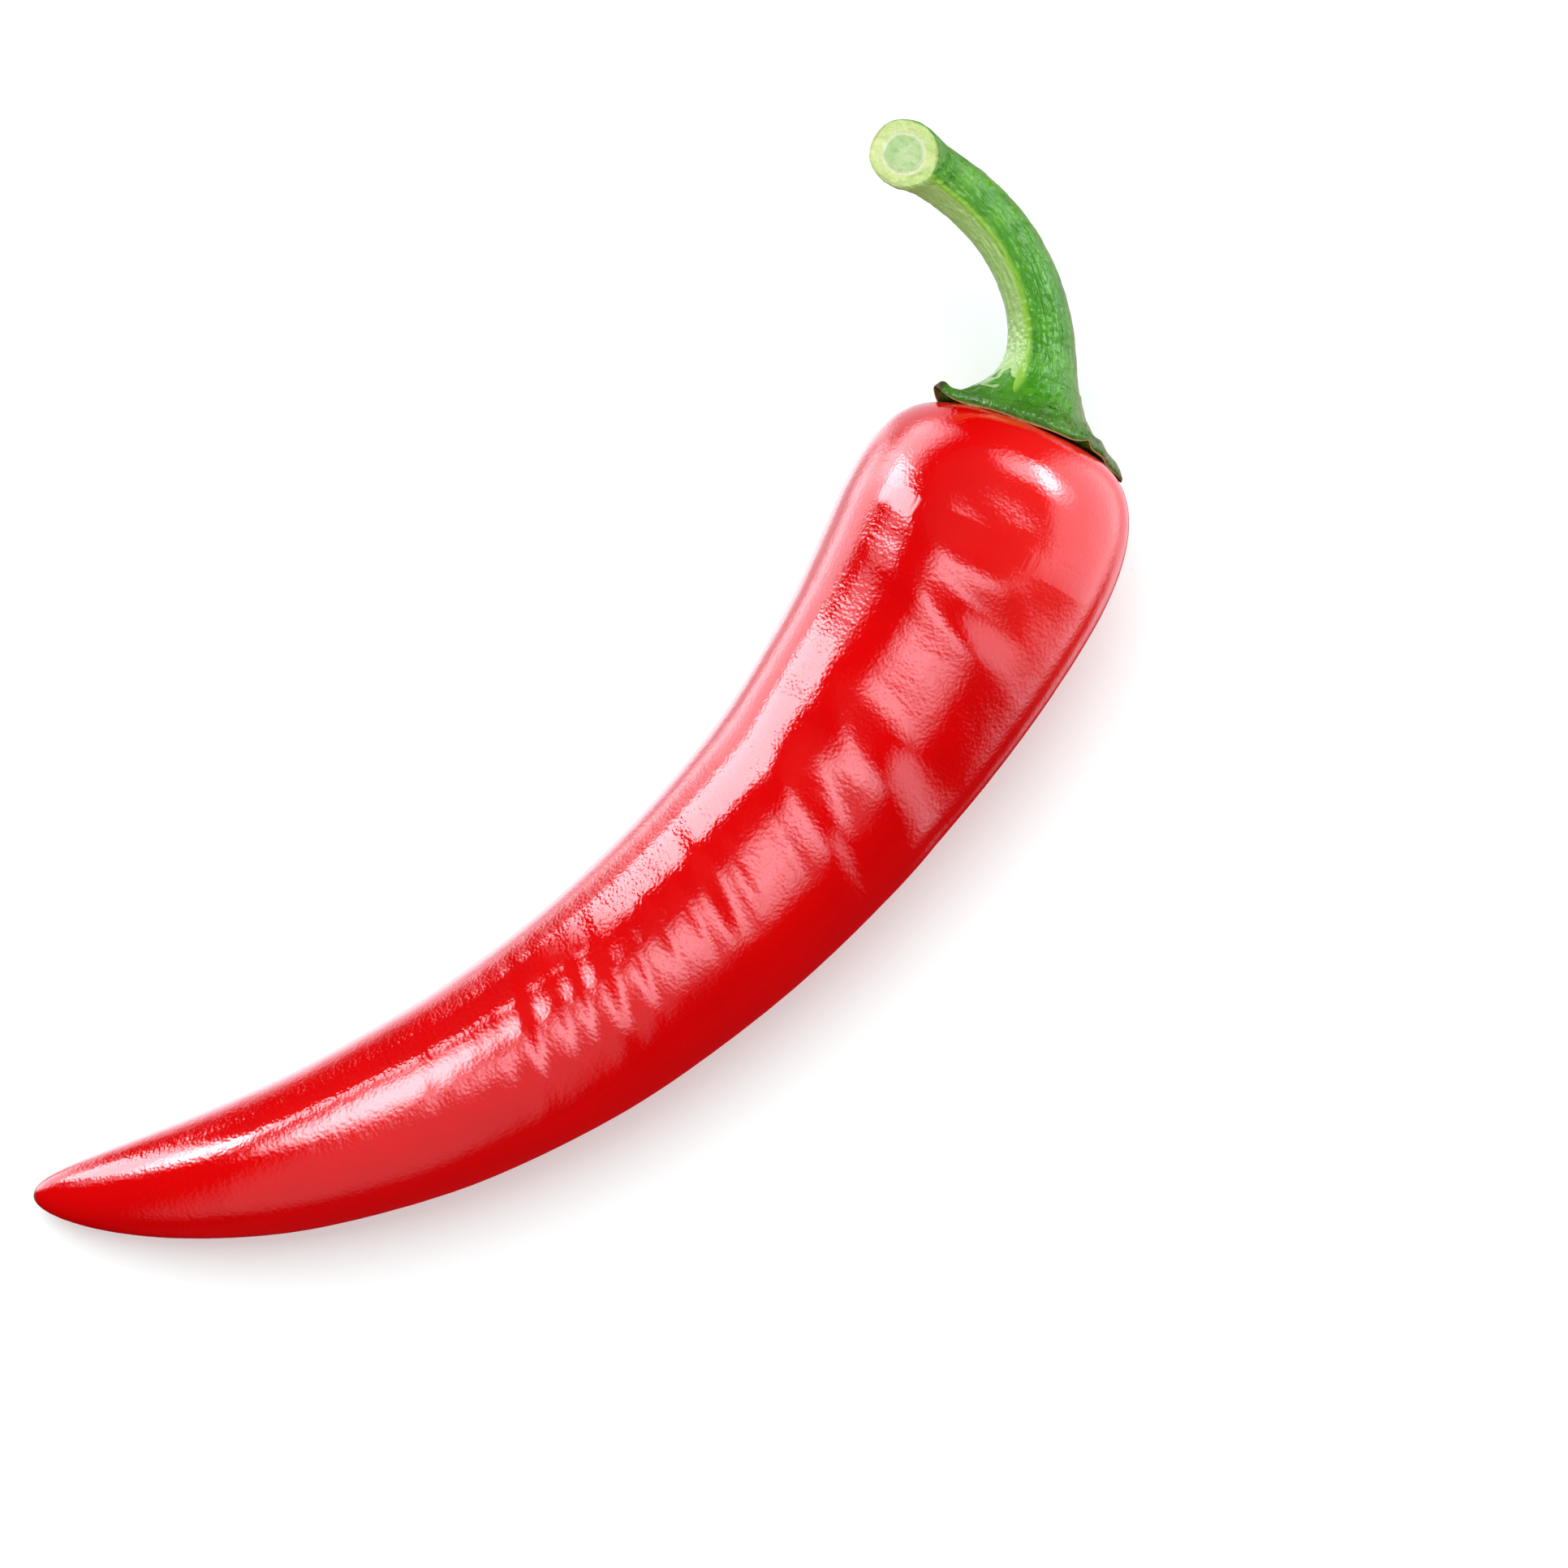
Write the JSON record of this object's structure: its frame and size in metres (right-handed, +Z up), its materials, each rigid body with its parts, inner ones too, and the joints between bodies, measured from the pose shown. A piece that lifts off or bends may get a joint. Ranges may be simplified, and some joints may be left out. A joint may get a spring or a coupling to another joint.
{
  "type": "chilli pepper",
  "caption": "Long red chilli pepper as picked, a curved tapering pod with a pointed green calyx and a bent, cut green stalk, lying on its side.",
  "frame": {"origin": "on the surface that the pepper lies on, under the middle of its bounding box", "axes": "+X from the tip of the pod towards the stalk, +Z up from the surface"},
  "size_m": [0.1256, 0.056, 0.0265],
  "materials": {
    "pod_skin": "glossy, waxy red skin with a fine leathery grain",
    "calyx_green": "rough, wrinkled dark green leaf with pale edges",
    "stalk_green": "satin light green stem with lengthwise ridges"
  },
  "bodies": {
    "root": {"pod": "pod_skin", "calyx": "calyx_green", "stalk": "stalk_green"}
  },
  "joints": []
}
